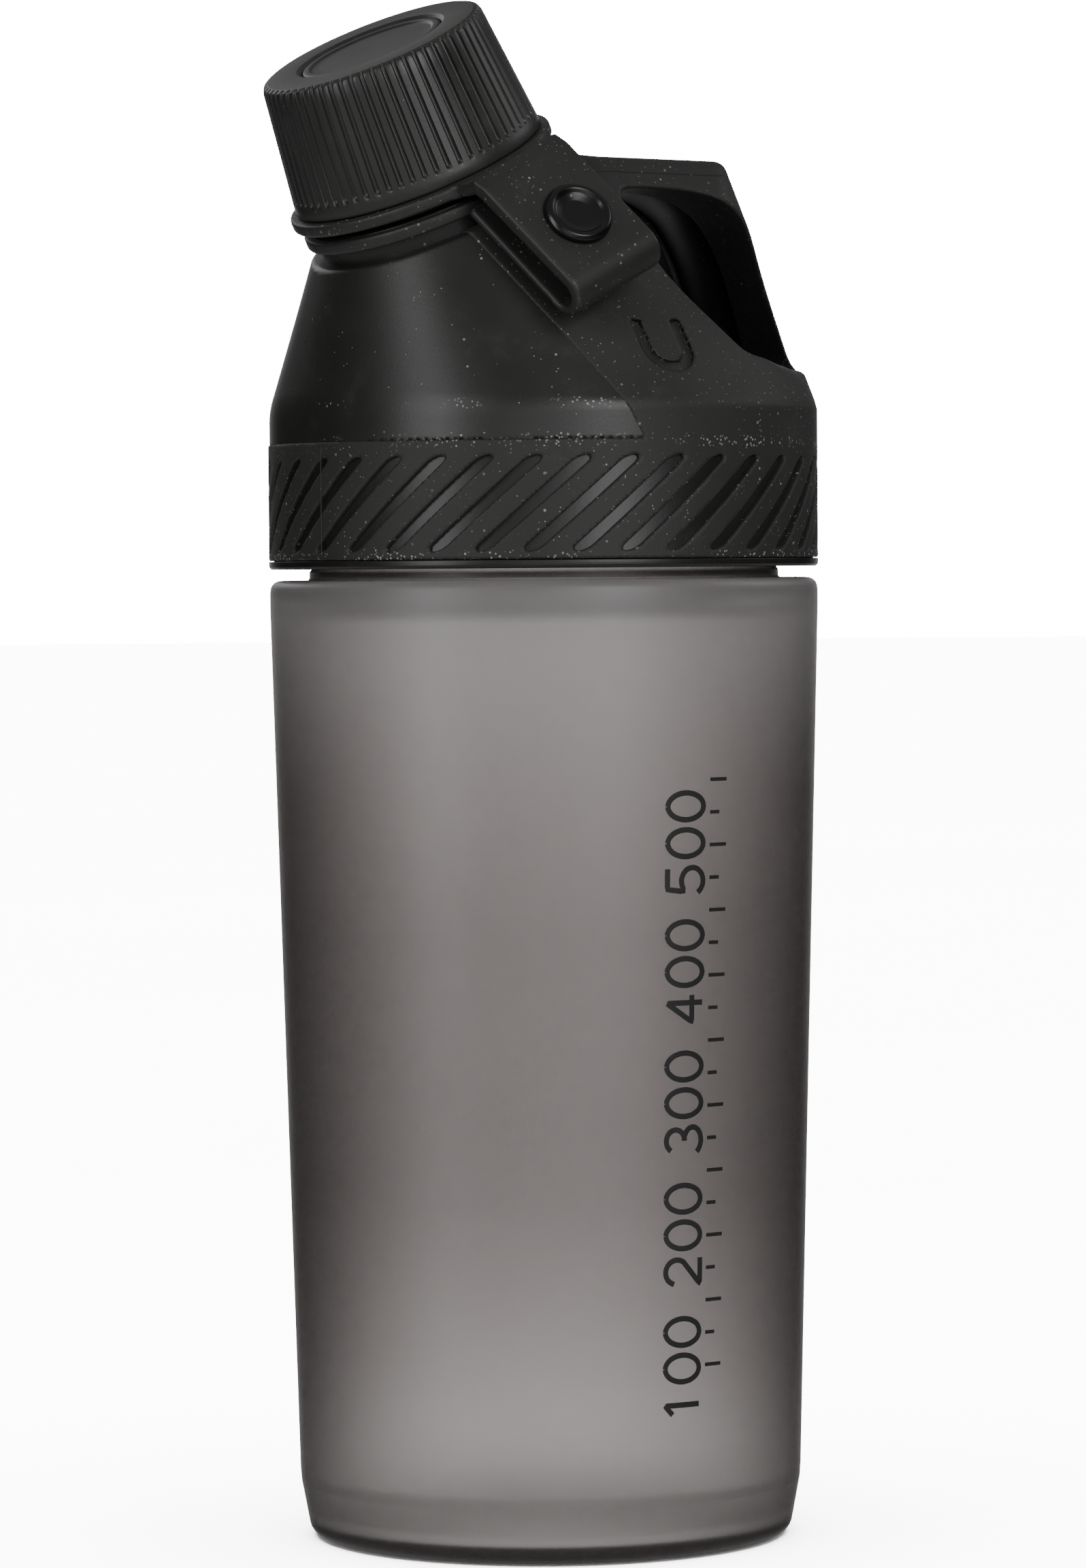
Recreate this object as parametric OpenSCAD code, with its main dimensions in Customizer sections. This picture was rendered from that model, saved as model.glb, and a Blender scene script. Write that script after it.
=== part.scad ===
// Protein shaker bottle: tapered cup, screw lid with carry handle, tethered ribbed spout cap.
// Millimetres, +Z up, origin at the centre of the base. Spout leans to -X, handle at +X, tether at -Y.

/* [Cup] */
// radius of the flat foot
base_r = 36.6; // [30:0.1:45]
// radius at the top of the base chamfer
foot_r = 39.4; // [32:0.1:48]
// height of the base chamfer
foot_z = 9.6; // [4:0.1:20]
// radius of the wall just under the shoulder
cup_r = 43.0; // [35:0.1:55]
// height of the flat shoulder
shoulder_z = 150.0; // [100:0.5:220]
// wall thickness
cup_wall = 1.9; // [1:0.1:4]
// outside radius of the threaded neck
neck_r = 36.3; // [28:0.1:45]
// height of the neck rim
neck_z = 171.0; // [120:0.5:240]
// height of the pushed-up centre of the base
punt_h = 5.0; // [0:0.5:15]

/* [Lid] */
// outside radius of the collar
collar_r = 43.1; // [35:0.1:55]
// height of the collar's lower edge
collar_z = 151.7; // [120:0.1:200]
// height where the band stops and the dome starts
band_top = 171.2; // [140:0.1:220]
// height of the top of the straight collar
collar_top = 176.6; // [140:0.1:220]
// depth of the soft band over the hard collar
band_t = 0.8; // [0.4:0.1:2]
// bore of the collar over the thread
bore_r = 38.4; // [30:0.1:50]
// number of slots round the band
slots = 36; // [12:1:60]
// width of a slot
slot_w = 2.6; // [1:0.1:5]
// vertical height of a slot
slot_h = 14.8; // [6:0.1:20]
// lean of a slot from the vertical, degrees
slot_lean = 49; // [0:1:60]
// rise of the lid thread in one turn
lid_lead = 8; // [3:0.5:12]

/* [Spout] */
// lean of the spout axis toward -X, degrees
tilt = 26; // [0:0.5:40]
// X of the centre of the cap's lower edge
spout_x = -24.0; // [-40:0.5:0]
// Z of the centre of the cap's lower edge
spout_z = 213.6; // [180:0.1:240]
// bore radius of the spout
spout_bore = 14.6; // [8:0.1:18]
// outside radius of the spout inside the cap
spout_r = 16.3; // [10:0.1:20]
// height of the spout above the cap's lower edge
spout_h = 8.0; // [5:0.1:9]
// rise of the cap thread in one turn
cap_lead = 4; // [2:0.5:6]

/* [Cap] */
// radius of the cap's lower edge
cap_r = 20.2; // [15:0.1:25]
// radius of the cap's top
cap_top_r = 17.9; // [12:0.1:25]
// height of the cap
cap_h = 20.6; // [12:0.1:30]
// number of grip grooves
ribs = 64; // [24:1:90]
// width of a grip groove
rib_w = 0.8; // [0.4:0.1:2]
// depth of a grip groove
rib_d = 0.5; // [0.2:0.1:1]
// radius of the disc let into the cap's top
disc_r = 11.4; // [6:0.1:16]

/* [Handle] */
// half width of the handle's top face
handle_q = 13.6; // [8:0.1:20]
// X of the back end of the handle's top face
handle_x = 27.4; // [15:0.1:40]
// height of the handle's top face
handle_z = 215.6; // [190:0.1:230]
// half width of the recessed channel on the handle's inner face
channel_q = 6.0; // [3:0.5:12]

/* [Tether] */
// width of the strap
strap_w = 18.0; // [8:0.5:24]
// outside radius of the ring under the cap
ring_r = 21.4; // [18:0.1:26]
// outside radius of the ring round the neck
low_ring_r = 20.4; // [18:0.1:26]
// thickness of the strap plate
plate_t = 2.3; // [1:0.1:4]
// radius of the button's face
button_r = 5.3; // [3:0.1:8]

/* [Hidden] */
$fn = 120;
sn = sin(tilt);
cs = cos(tilt);
thread_z = 154.6;
ridge_out = 37.8;
ridge_in = 36.85;
seal_z = neck_z + 1.4;
fold = [36.1, -17.4];
fold_r = 2.5;
root = [21.5, -4.6];
plate_nrm = [0.788, 0.616];

// side outline of the opening under the handle, in X and Z, counter-clockwise
opening = [
  [12.5, 184.2], [20.0, 183.4], [28.0, 182.55], [34.6, 181.9], [36.0, 182.4],
  [36.6, 184.0], [35.5, 187.3], [34.0, 191.8], [32.5, 196.0], [31.0, 199.6],
  [29.1, 202.9], [26.4, 206.3], [22.6, 208.7], [18.1, 210.1], [10.0, 210.6],
  [3.6, 210.5], [1.8, 209.6], [1.0, 207.8], [1.3, 200.5], [2.2, 196.8],
  [4.8, 192.4], [9.6, 186.2]
];

function edge_normal(p, q) = [q[1] - p[1], p[0] - q[0]] / norm(q - p);
function corner(a, b, c, d) =
  let (m = edge_normal(a, b), n = edge_normal(b, c)) b + d * (m + n) / (1 + m * n);
function grown(p, d) =
  let (k = len(p)) [for (i = [0:k - 1]) corner(p[(i + k - 1) % k], p[i], p[(i + 1) % k], d)];

// ---- shared shapes ----

// puts a shape drawn round +Z onto the spout's axis, origin at the cap's lower edge
module on_spout() {
  translate([spout_x, 0, spout_z])
    rotate([0, -tilt, 0])
      children();
}

// a prism along Y of an outline given in X and Z
module across(outline, width) {
  rotate([90, 0, 0])
    linear_extrude(height = width, center = true)
      polygon(outline);
}

// a prism along the spout frame's X of an outline given as distance toward -Y and height
module along_strap(outline, width) {
  rotate([90, 0, -90])
    linear_extrude(height = width, center = true)
      polygon(outline);
}

// an interrupted thread made of short level ridges, each a little higher than the last
module thread(r0, r1, z0, lead, turns, root_h, crest_h, step) {
  for (i = [0:floor(turns * 360 / step) - 1])
    rotate([0, 0, i * step])
      translate([0, 0, z0 + lead * i * step / 360])
        rotate_extrude(angle = step - 4)
          polygon([[r0, -root_h / 2], [r1, -crest_h / 2], [r1, crest_h / 2], [r0, root_h / 2]]);
}

// a thin disc, used as an end of a hulled cone
module end_disc(r) {
  cylinder(r = r, h = 0.2);
}

// an oblique cone from the collar to the spout neck
module oblique(r0, z0, r1, s1) {
  hull() {
    translate([0, 0, z0])
      end_disc(r0);
    on_spout()
      translate([0, 0, s1])
        end_disc(r1);
  }
}

// everything behind the slanted seam between hard dome and soft saddle
module behind_seam(shift) {
  across([[-11 + shift, 168], [60, 168], [60, 230], [-42.6 + shift, 230]], 120);
}

// ---- cup ----

module cup_body() {
  color([0.55, 0.53, 0.52, 0.7])
    union() {
      rotate_extrude()
        polygon([
          [0, punt_h], [20.0, punt_h], [25.0, punt_h - 1.2], [31.5, 0.8], [33.5, 0],
          [base_r, 0], [base_r + 0.9, 0.5], [foot_r - 0.15, foot_z - 0.6], [foot_r, foot_z],
          [cup_r, shoulder_z - 4.2], [cup_r - 0.15, shoulder_z - 2.8], [cup_r - 0.8, shoulder_z - 1.3],
          [cup_r - 2.0, shoulder_z - 0.3], [cup_r - 3.4, shoulder_z], [36.8, shoulder_z],
          [36.8, 151.3], [neck_r, 151.9], [neck_r, neck_z - 0.6], [neck_r - 0.6, neck_z],
          [34.8, neck_z], [34.2, neck_z - 0.6], [34.2, 151.0], [35.2, 149.3], [38.8, 147.9],
          [40.4, 146.8], [cup_r - cup_wall, 144.5], [foot_r - cup_wall, foot_z + 0.4],
          [36.0, 4.2], [34.2, 2.6], [32.6, 2.8], [26.0, punt_h + 0.9], [20.6, punt_h + 2.2],
          [0, punt_h + 2.2]
        ]);
      thread(neck_r - 0.8, ridge_out, thread_z, lid_lead, 1.25, 2.8, 1.3, 30);
    }
}

// ---- lid ----

module lid_gasket() {
  color([0.75, 0.75, 0.73])
    rotate_extrude()
      polygon([[33.2, 171.05], [38.1, 171.05], [38.1, seal_z - 0.02], [33.2, seal_z - 0.02]]);
}

module lid_hard_outer() {
  union() {
    rotate_extrude()
      polygon([
        [0, collar_z], [collar_r - 0.4, collar_z], [collar_r, collar_z + 0.4], [collar_r, 153.0],
        [collar_r - band_t, 153.0], [collar_r - band_t, band_top], [41.6, band_top],
        [41.6, collar_top - 0.6], [0, collar_top - 0.6]
      ]);
    difference() {
      translate([0, 0, band_top - 1])
        cylinder(r = collar_r - band_t, h = collar_top - band_top + 0.4);
      behind_seam(0);
    }
    difference() {
      translate([0, 0, band_top])
        cylinder(r = collar_r, h = collar_top - band_top - 0.6);
      behind_seam(0);
    }
    difference() {
      oblique(collar_r, collar_top - 0.8, 19.9, -7.2);
      behind_seam(0);
    }
    difference() {
      oblique(41.6, collar_top - 0.8, 19.0, -8.4);
      across(grown(opening, 2.0), 120);
    }
    on_spout()
      translate([0, 0, -9])
        cylinder(r = 18.7, h = 5.7);
    on_spout()
      translate([0, 0, -4])
        cylinder(r1 = spout_r + 0.6, r2 = spout_r, h = spout_h + 4);
  }
}

module lid_shell() {
  color([0.10, 0.10, 0.10])
    union() {
      difference() {
        lid_hard_outer();
        translate([0, 0, collar_z - 1])
          cylinder(r = bore_r, h = seal_z - collar_z + 1);
        translate([0, 0, seal_z - 1])
          cylinder(r = 33.0, h = 3.2);
        difference() {
          oblique(39.0, seal_z + 1.8, 15.6, -10.5);
          across(grown(opening, 4.4), 120);
        }
        on_spout()
          translate([0, 0, -14])
            cylinder(r = spout_bore, h = 30);
        keeper_place(0.05);
      }
      thread(ridge_in, bore_r + 0.8, thread_z + lid_lead / 2, lid_lead, 1.25, 1.3, 2.8, 30);
      on_spout()
        thread(spout_r - 0.7, 17.1, 2.0, cap_lead, 1, 1.6, 0.7, 30);
    }
}

module slot_cutter() {
  translate([collar_r - 3, 0, (154.1 + 168.9) / 2])
    rotate([90, 0, 90])
      linear_extrude(height = 5)
        polygon([
          [-slot_w / 2 - slot_h / 2 * tan(slot_lean), -slot_h / 2],
          [slot_w / 2 - slot_h / 2 * tan(slot_lean), -slot_h / 2],
          [slot_w / 2 + slot_h / 2 * tan(slot_lean), slot_h / 2],
          [-slot_w / 2 + slot_h / 2 * tan(slot_lean), slot_h / 2]
        ]);
}

// the flanks and the carry loop before the opening is cut: collar circle up to the handle's top
module loop_block() {
  hull() {
    translate([0, 0, collar_top - 0.1])
      end_disc(collar_r);
    translate([-2, -handle_q - 0.9, handle_z - 2.2])
      cube([handle_x + 2.7, 2 * handle_q + 1.8, 0.2]);
    translate([-2, 1 - handle_q, handle_z - 0.2])
      cube([handle_x + 1.4, 2 * handle_q - 2, 0.2]);
  }
}

module lid_grip() {
  color([0.16, 0.16, 0.15])
    difference() {
      union() {
        difference() {
          translate([0, 0, 153.05])
            cylinder(r = collar_r, h = band_top - 153.07);
          translate([0, 0, 150])
            cylinder(r = collar_r - band_t + 0.01, h = 40);
          for (i = [0:slots - 1])
            rotate([0, 0, i * 360 / slots])
              slot_cutter();
        }
        difference() {
          intersection() {
            union() {
              oblique(collar_r, collar_top - 0.1, 20.8, -7.6);
              loop_block();
              translate([0, 0, band_top - 0.02])
                cylinder(r = collar_r, h = collar_top - band_top);
            }
            behind_seam(0.05);
          }
          translate([0, 0, 150])
            cylinder(r = collar_r - 1.49, h = collar_top - 150 - 0.6);
          difference() {
            oblique(41.61, collar_top - 0.8, 19.01, -8.39);
            across(grown(opening, 1.99), 120);
          }
          on_spout()
            translate([0, 0, -14])
              cylinder(r = 18.71, h = 20);
          across(opening, 120);
        }
      }
      intersection() {
        across(grown(opening, 1.9), 2 * channel_q);
        loop_side();
      }
      keeper_place(0.05);
    }
}

// the part of the opening's rim that belongs to the handle, not to the saddle
module loop_side() {
  across([[13, 206], [26, 186.5], [60, 186.5], [60, 230], [13, 230]], 60);
}

module handle_core() {
  color([0.09, 0.09, 0.09])
    difference() {
      intersection() {
        across(grown(opening, 1.89), 2 * channel_q - 0.02);
        loop_side();
      }
      across(grown(opening, 0.7), 60);
    }
}

module mixing_grid() {
  color([0.13, 0.13, 0.13])
    union() {
      difference() {
        translate([0, 0, 165.5])
          cylinder(r = 32.8, h = 9.0);
        translate([0, 0, 165])
          cylinder(r = 31.2, h = 10);
      }
      intersection() {
        translate([0, 0, 165.5])
          cylinder(r = 31.6, h = 1.8);
        union() {
          for (i = [-3:3]) {
            translate([i * 8 - 0.9, -35, 165.5])
              cube([1.8, 70, 1.8]);
            translate([-35, i * 8 - 0.9, 165.5])
              cube([70, 1.8, 1.8]);
          }
        }
      }
    }
}

// the steel disc's place under the saddle, where the button docks
module keeper_place(gap) {
  translate([-5, -33.7, 183.9])
    rotate([54, 0, -4])
      translate([0, 0, -0.5 - gap])
        cylinder(r = 5 + gap, h = 1 + 2 * gap);
}

module keeper_plate() {
  color([0.6, 0.6, 0.6])
    keeper_place(0);
}

// ---- tether ----

module tether_ring() {
  color([0.13, 0.13, 0.13])
    on_spout()
      difference() {
        translate([0, 0, -5.6])
          cylinder(r = low_ring_r, h = 2.1);
        translate([0, 0, -7])
          cylinder(r = 18.85, h = 6);
      }
}

module tether_strap() {
  color([0.13, 0.13, 0.13])
    on_spout()
      difference() {
        union() {
          along_strap([
            [root[0], root[1] + 0.8], [root[0] - 0.2, root[1] - 0.8],
            [fold[0] - 1.9, fold[1] - 1.6], [fold[0], fold[1] - 0.6], [fold[0] - 1.0, fold[1] - 0.2]
          ], strap_w);
          translate([0, -fold[0], fold[1]])
            rotate([0, 90, 0])
              cylinder(r = fold_r, h = strap_w, center = true);
          translate([0, -root[0], root[1]])
            rotate([0, 90, 0])
              cylinder(r = 0.85, h = strap_w, center = true);
        }
        translate([0, 0, -7])
          cylinder(r = low_ring_r + 0.15, h = 6);
      }
}

// outline of the flap between the cap ring and the fold
flap_out = fold + fold_r * plate_nrm;
flap_in = fold + (fold_r - plate_t) * plate_nrm;

module tether_flap() {
  color([0.13, 0.13, 0.13])
    on_spout()
      difference() {
        union() {
          translate([0, 0, -2.2])
            cylinder(r = ring_r, h = 2.05);
          along_strap([
            [17, -0.3], [21.8, -0.15], [24.4, 0.45], [26.5, -1.0], flap_out,
            flap_in, [24.9, -2.9], [23.8, -2.0], [22.0, -2.2], [17, -2.2]
          ], strap_w);
        }
        translate([0, 0, -4])
          cylinder(r = 19.25, h = 3.9);
        cylinder(r = 20.8, h = 3);
        translate([0, -fold[0], fold[1]])
          rotate([0, 90, 0])
            cylinder(r = fold_r + 0.1, h = strap_w + 2, center = true);
        on_plate(0)
          cylinder(r = 4.6, h = 1.6, center = true);
      }
}

// puts a shape drawn round +Z onto the outer face of the strap plate
module on_plate(lift) {
  translate([0, -33.5 - 0.788 * lift, -10.03 + 0.616 * lift])
    rotate([atan2(0.788, 0.616), 0, 0])
      children();
}

module magnet_button() {
  color([0.05, 0.05, 0.05])
    on_spout()
      on_plate(0)
        difference() {
          rotate_extrude()
            polygon([
              [0, -0.75], [4.5, -0.75], [4.5, 0.1], [button_r, 0.1], [button_r, 0.55],
              [button_r - 0.35, 1.0], [button_r - 0.9, 1.15], [button_r - 1.5, 0.95], [0, 0.7]
            ]);
          translate([0, 0, -1])
            cylinder(r = 4.05, h = 1.3);
        }
}

module button_magnet() {
  color([0.7, 0.7, 0.72])
    on_spout()
      on_plate(0)
        translate([0, 0, -0.75])
          cylinder(r = 4.0, h = 1.0);
}

// ---- cap ----

module rib_cutter() {
  lean = atan2(cap_r - cap_top_r, cap_h);
  translate([cap_r, 0, 0])
    rotate([0, -lean, 0])
      rotate([90, 0, 90])
        translate([0, 0, -rib_d])
          linear_extrude(height = 3)
            polygon([
              [-rib_w / 2, 2.6], [-rib_w / 4, 2.25], [rib_w / 4, 2.25], [rib_w / 2, 2.6],
              [rib_w / 2, 24], [-rib_w / 2, 24]
            ]);
}

module spout_cap() {
  color([0.11, 0.11, 0.11])
    on_spout()
      union() {
        difference() {
          rotate_extrude()
            polygon([
              [17.5, -2.5], [19.0, -2.5], [19.1, -0.05], [cap_r - 0.3, -0.05], [cap_r, 0.25],
              [cap_top_r + 0.12, cap_h - 1.1], [cap_top_r - 0.25, cap_h - 0.35],
              [cap_top_r - 1.0, cap_h], [disc_r + 0.7, cap_h], [disc_r + 0.1, cap_h - 0.6],
              [disc_r + 0.1, cap_h - 1.8], [9.6, cap_h - 1.8], [9.6, 11.4], [0, 11.4],
              [0, 9.4], [17.5, 9.4]
            ]);
          for (i = [0:ribs - 1])
            rotate([0, 0, i * 360 / ribs])
              rib_cutter();
        }
        thread(16.75, 18.2, 2.0 + cap_lead / 2, cap_lead, 1, 0.7, 1.6, 30);
      }
}

module cap_disc() {
  color([0.09, 0.09, 0.09])
    on_spout()
      rotate_extrude()
        polygon([
          [0, cap_h - 1.79], [disc_r, cap_h - 1.79], [disc_r, cap_h - 0.7],
          [disc_r - 0.4, cap_h - 0.35], [disc_r - 1.2, cap_h - 0.35],
          [disc_r - 1.6, cap_h - 0.6], [0, cap_h - 0.6]
        ]);
}

module cap_liner() {
  color([0.75, 0.75, 0.73])
    on_spout()
      translate([0, 0, spout_h + 0.03])
        cylinder(r = 16.5, h = 9.38 - spout_h - 0.03);
}

cup_body();
lid_gasket();
lid_shell();
lid_grip();
handle_core();
mixing_grid();
keeper_plate();
tether_ring();
tether_strap();
tether_flap();
magnet_button();
button_magnet();
spout_cap();
cap_disc();
cap_liner();
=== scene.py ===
"""Protein shaker bottle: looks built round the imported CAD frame. Shapes are in millimetres until made."""
import math

import bpy
import numpy as np
from mathutils import Matrix, Vector


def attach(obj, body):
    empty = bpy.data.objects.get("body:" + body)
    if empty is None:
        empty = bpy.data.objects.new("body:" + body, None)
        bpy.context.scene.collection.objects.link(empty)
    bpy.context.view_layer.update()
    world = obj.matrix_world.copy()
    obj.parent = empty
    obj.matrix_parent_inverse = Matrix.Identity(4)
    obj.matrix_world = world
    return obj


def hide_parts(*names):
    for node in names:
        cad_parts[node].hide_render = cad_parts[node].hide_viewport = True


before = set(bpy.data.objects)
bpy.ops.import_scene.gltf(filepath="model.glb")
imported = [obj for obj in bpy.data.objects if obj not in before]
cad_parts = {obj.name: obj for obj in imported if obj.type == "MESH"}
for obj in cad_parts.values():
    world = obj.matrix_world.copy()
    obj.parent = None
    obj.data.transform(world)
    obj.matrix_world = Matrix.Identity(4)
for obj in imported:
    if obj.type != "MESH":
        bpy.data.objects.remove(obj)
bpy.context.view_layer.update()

MM = 0.001
TILT = math.radians(26)
CS, SN = math.cos(TILT), math.sin(TILT)
# the spout's frame: its own Z is the spout's axis
SPOUT = np.array([-24.0, 0.0, 213.6])
SPOUT_AXES = np.array([[CS, 0, SN], [0, 1, 0], [-SN, 0, CS]])
COLLAR_R = 43.1
COLLAR_TOP = 176.6
LOOP_RISE = 39.0
BAND = (153.05, 171.2)
SLOTS = 36
SLOT_HALF, SLOT_REACH = 1.3, 7.3
SLOT_MID = (154.1 + 168.9) / 2
SLOT_LEAN, SLOT_COS = math.tan(math.radians(49)), 0.656
CUP_FOOT_R, CUP_FOOT_Z = 39.45, 10.6
CUP_TOP_R, CUP_TOP_Z = 43.0, 145.8
NECK_R = 36.3
BORE_R = 38.4
LID_LEAD, LID_TURNS = 8, 1.25
SPOUT_LEAD, SPOUT_TURNS = 4, 1.0
CAP_BORE_R = 17.5
RIBS = 64
CORNERS = np.array([[i, j, k] for i in (0, 1) for j in (0, 1) for k in (0, 1)])


# ---- outlines and distances ----

def smoothstep(x, lo, hi):
    t = np.clip((x - lo) / (hi - lo), 0, 1)
    return t * t * (3 - 2 * t)


def smin(a, b, k):
    h = np.clip(0.5 + 0.5 * (b - a) / k, 0, 1)
    return b + (a - b) * h - k * h * (1 - h)


def smax(a, b, k):
    return -smin(-a, -b, k)


def fillet(points, radii, steps=5):
    """closed outline with each corner rounded to its radius"""
    pts = [np.array(p, float) for p in points]
    if not hasattr(radii, "__len__"):
        radii = [radii] * len(pts)
    out = []
    for i, p in enumerate(pts):
        a, b = pts[i - 1] - p, pts[(i + 1) % len(pts)] - p
        la, lb = np.linalg.norm(a), np.linalg.norm(b)
        a, b = a / la, b / lb
        angle = math.acos(np.clip(a @ b, -1, 1))
        if radii[i] <= 0 or angle > 3.05 or angle < 0.05:
            out.append(p)
            continue
        cut = min(radii[i] / math.tan(angle / 2), 0.48 * la, 0.48 * lb)
        s, e = p + a * cut, p + b * cut
        for t in np.linspace(0, 1, steps):
            out.append((1 - t) ** 2 * s + 2 * t * (1 - t) * p + t * t * e)
    return np.array(out)


def chaikin(points, times=2):
    """closed outline cut at its corners until it is smooth"""
    p = np.array(points, float)
    for _ in range(times):
        q = np.roll(p, -1, axis=0)
        p = np.stack([0.75 * p + 0.25 * q, 0.25 * p + 0.75 * q], 1).reshape(-1, 2)
    return p


def dense(points, step):
    """closed outline with its long edges divided"""
    out = []
    for i, p in enumerate(points):
        q = points[(i + 1) % len(points)]
        n = max(1, int(math.ceil(np.linalg.norm(q - p) / step)))
        out += [p + (q - p) * t / n for t in range(n)]
    return np.array(out)


def outline_gap(xy, poly):
    """signed distance from points to a closed outline, negative inside"""
    d = np.full(len(xy), 1e9)
    inside = np.zeros(len(xy), bool)
    for i in range(len(poly)):
        a, b = poly[i - 1], poly[i]
        e, w = b - a, xy - a
        t = np.clip((w @ e) / max(e @ e, 1e-12), 0, 1)
        d = np.minimum(d, ((w - t[:, None] * e) ** 2).sum(1))
        cross = (a[1] > xy[:, 1]) != (b[1] > xy[:, 1])
        side = (xy[:, 0] - a[0]) * (b[1] - a[1]) - (b[0] - a[0]) * (xy[:, 1] - a[1])
        inside ^= cross & ((side < 0) == (b[1] > a[1]))
    return np.sqrt(d) * np.where(inside, -1, 1)


class Chart:
    """a signed distance to an outline, kept on a grid and read between its points"""

    def __init__(self, poly, lo, hi, step=0.3):
        self.lo, self.step = np.array(lo, float), step
        n = [int((hi[i] - lo[i]) / step) + 2 for i in (0, 1)]
        g = np.stack(np.meshgrid(*[lo[i] + step * np.arange(n[i]) for i in (0, 1)], indexing="ij"), -1)
        self.grid = outline_gap(g.reshape(-1, 2), poly).reshape(n)

    def __call__(self, x, y):
        n = self.grid.shape
        u = np.clip((x - self.lo[0]) / self.step, 0, n[0] - 1.001)
        v = np.clip((y - self.lo[1]) / self.step, 0, n[1] - 1.001)
        i, j = u.astype(int), v.astype(int)
        u, v = u - i, v - j
        g = self.grid
        return (g[i, j] * (1 - u) * (1 - v) + g[i + 1, j] * u * (1 - v)
                + g[i, j + 1] * (1 - u) * v + g[i + 1, j + 1] * u * v)


# ---- meshes ----

def slope(field, p, e):
    out = np.empty_like(p)
    for k in range(3):
        d = np.zeros(3)
        d[k] = e
        out[:, k] = (field(p + d) - field(p - d)) / (2 * e)
    return out


def nets(field, lo, hi, h, coarse=4, reach=1.5):
    """closed quad mesh where the field is zero, with points drawn onto that surface"""
    lo = np.array(lo, float)
    n = np.ceil((np.array(hi) - lo) / (h * coarse)).astype(int)
    axes = [lo[i] + h * coarse * (np.arange(n[i]) + 0.5) for i in range(3)]
    mid = np.stack(np.meshgrid(*axes, indexing="ij"), -1).reshape(-1, 3)
    near = (np.abs(field(mid)) < h * coarse * reach).reshape(n)
    cells = near.repeat(coarse, 0).repeat(coarse, 1).repeat(coarse, 2)
    size = np.array(cells.shape) + 1
    mask = np.zeros(size, bool)
    for c in CORNERS:
        mask[c[0]:c[0] + cells.shape[0], c[1]:c[1] + cells.shape[1], c[2]:c[2] + cells.shape[2]] |= cells
    vol = np.full(size, 1.0)
    vol[mask] = field(lo + h * np.argwhere(mask))
    where = np.argwhere(cells)
    flat = np.ravel_multi_index(where.T, size)
    steps = CORNERS @ np.array([size[1] * size[2], size[2], 1])
    v = vol.ravel()[flat[:, None] + steps]
    s = v < 0
    mixed = s.any(1) & ~s.all(1)
    where, v, s = where[mixed], v[mixed], s[mixed]
    total, count = np.zeros((len(v), 3)), np.zeros(len(v))
    for a in range(8):
        for b in range(a + 1, 8):
            if np.abs(CORNERS[a] - CORNERS[b]).sum() != 1:
                continue
            cross = s[:, a] != s[:, b]
            t = np.where(cross, v[:, a] / np.where(cross, v[:, a] - v[:, b], 1), 0)
            total += cross[:, None] * (CORNERS[a] + t[:, None] * (CORNERS[b] - CORNERS[a]))
            count += cross
    p = lo + h * (where + total / count[:, None])
    number = np.full(cells.shape, -1)
    number[tuple(where.T)] = np.arange(len(where))
    faces = []
    for k in range(3):
        u, w = (k + 1) % 3, (k + 2) % 3
        far = 4 >> k
        cross = (s[:, 0] != s[:, far]) & (where[:, u] > 0) & (where[:, w] > 0)
        c = where[cross]
        du, dw = np.zeros(3, int), np.zeros(3, int)
        du[u], dw[w] = 1, 1
        quad = np.stack([number[tuple(q.T)] for q in (c, c - du, c - du - dw, c - dw)], 1)
        flip = ~s[cross, 0]
        quad[flip] = quad[flip][:, ::-1]
        faces.append(quad[(quad >= 0).all(1)])
    for _ in range(3):
        f, g = field(p), slope(field, p, 0.1 * h)
        move = f / np.maximum((g * g).sum(1), 0.05)
        p = p - np.clip(move, -0.6 * h, 0.6 * h)[:, None] * g
    g = slope(field, p, 0.35 * h)
    return p, np.concatenate(faces), g / np.linalg.norm(g, axis=1)[:, None]


def to_part(p, local):
    """points of the spout's frame, or of the part's own, in the part's frame"""
    return SPOUT + p @ SPOUT_AXES if local else p


def make(name, points, faces, body, material, replaces=(), normals=None, local=False,
         sharp=None):
    """a piece from points in millimetres, riding on a body"""
    mesh = bpy.data.meshes.new(name)
    placed = to_part(np.asarray(points, float), local) * MM
    mesh.from_pydata(placed.tolist(), [], [list(map(int, f)) for f in faces])
    mesh.validate()
    mesh.update()
    mesh.shade_smooth()
    if normals is not None:
        turned = normals @ SPOUT_AXES if local else normals
        mesh.normals_split_custom_set_from_vertices(turned.tolist())
    elif sharp:
        mesh.set_sharp_from_angle(angle=math.radians(sharp))
    piece = bpy.data.objects.new(name, mesh)
    bpy.context.scene.collection.objects.link(piece)
    mesh.materials.append(material)
    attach(piece, body)
    if replaces:
        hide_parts(*replaces)
    return piece


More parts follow.
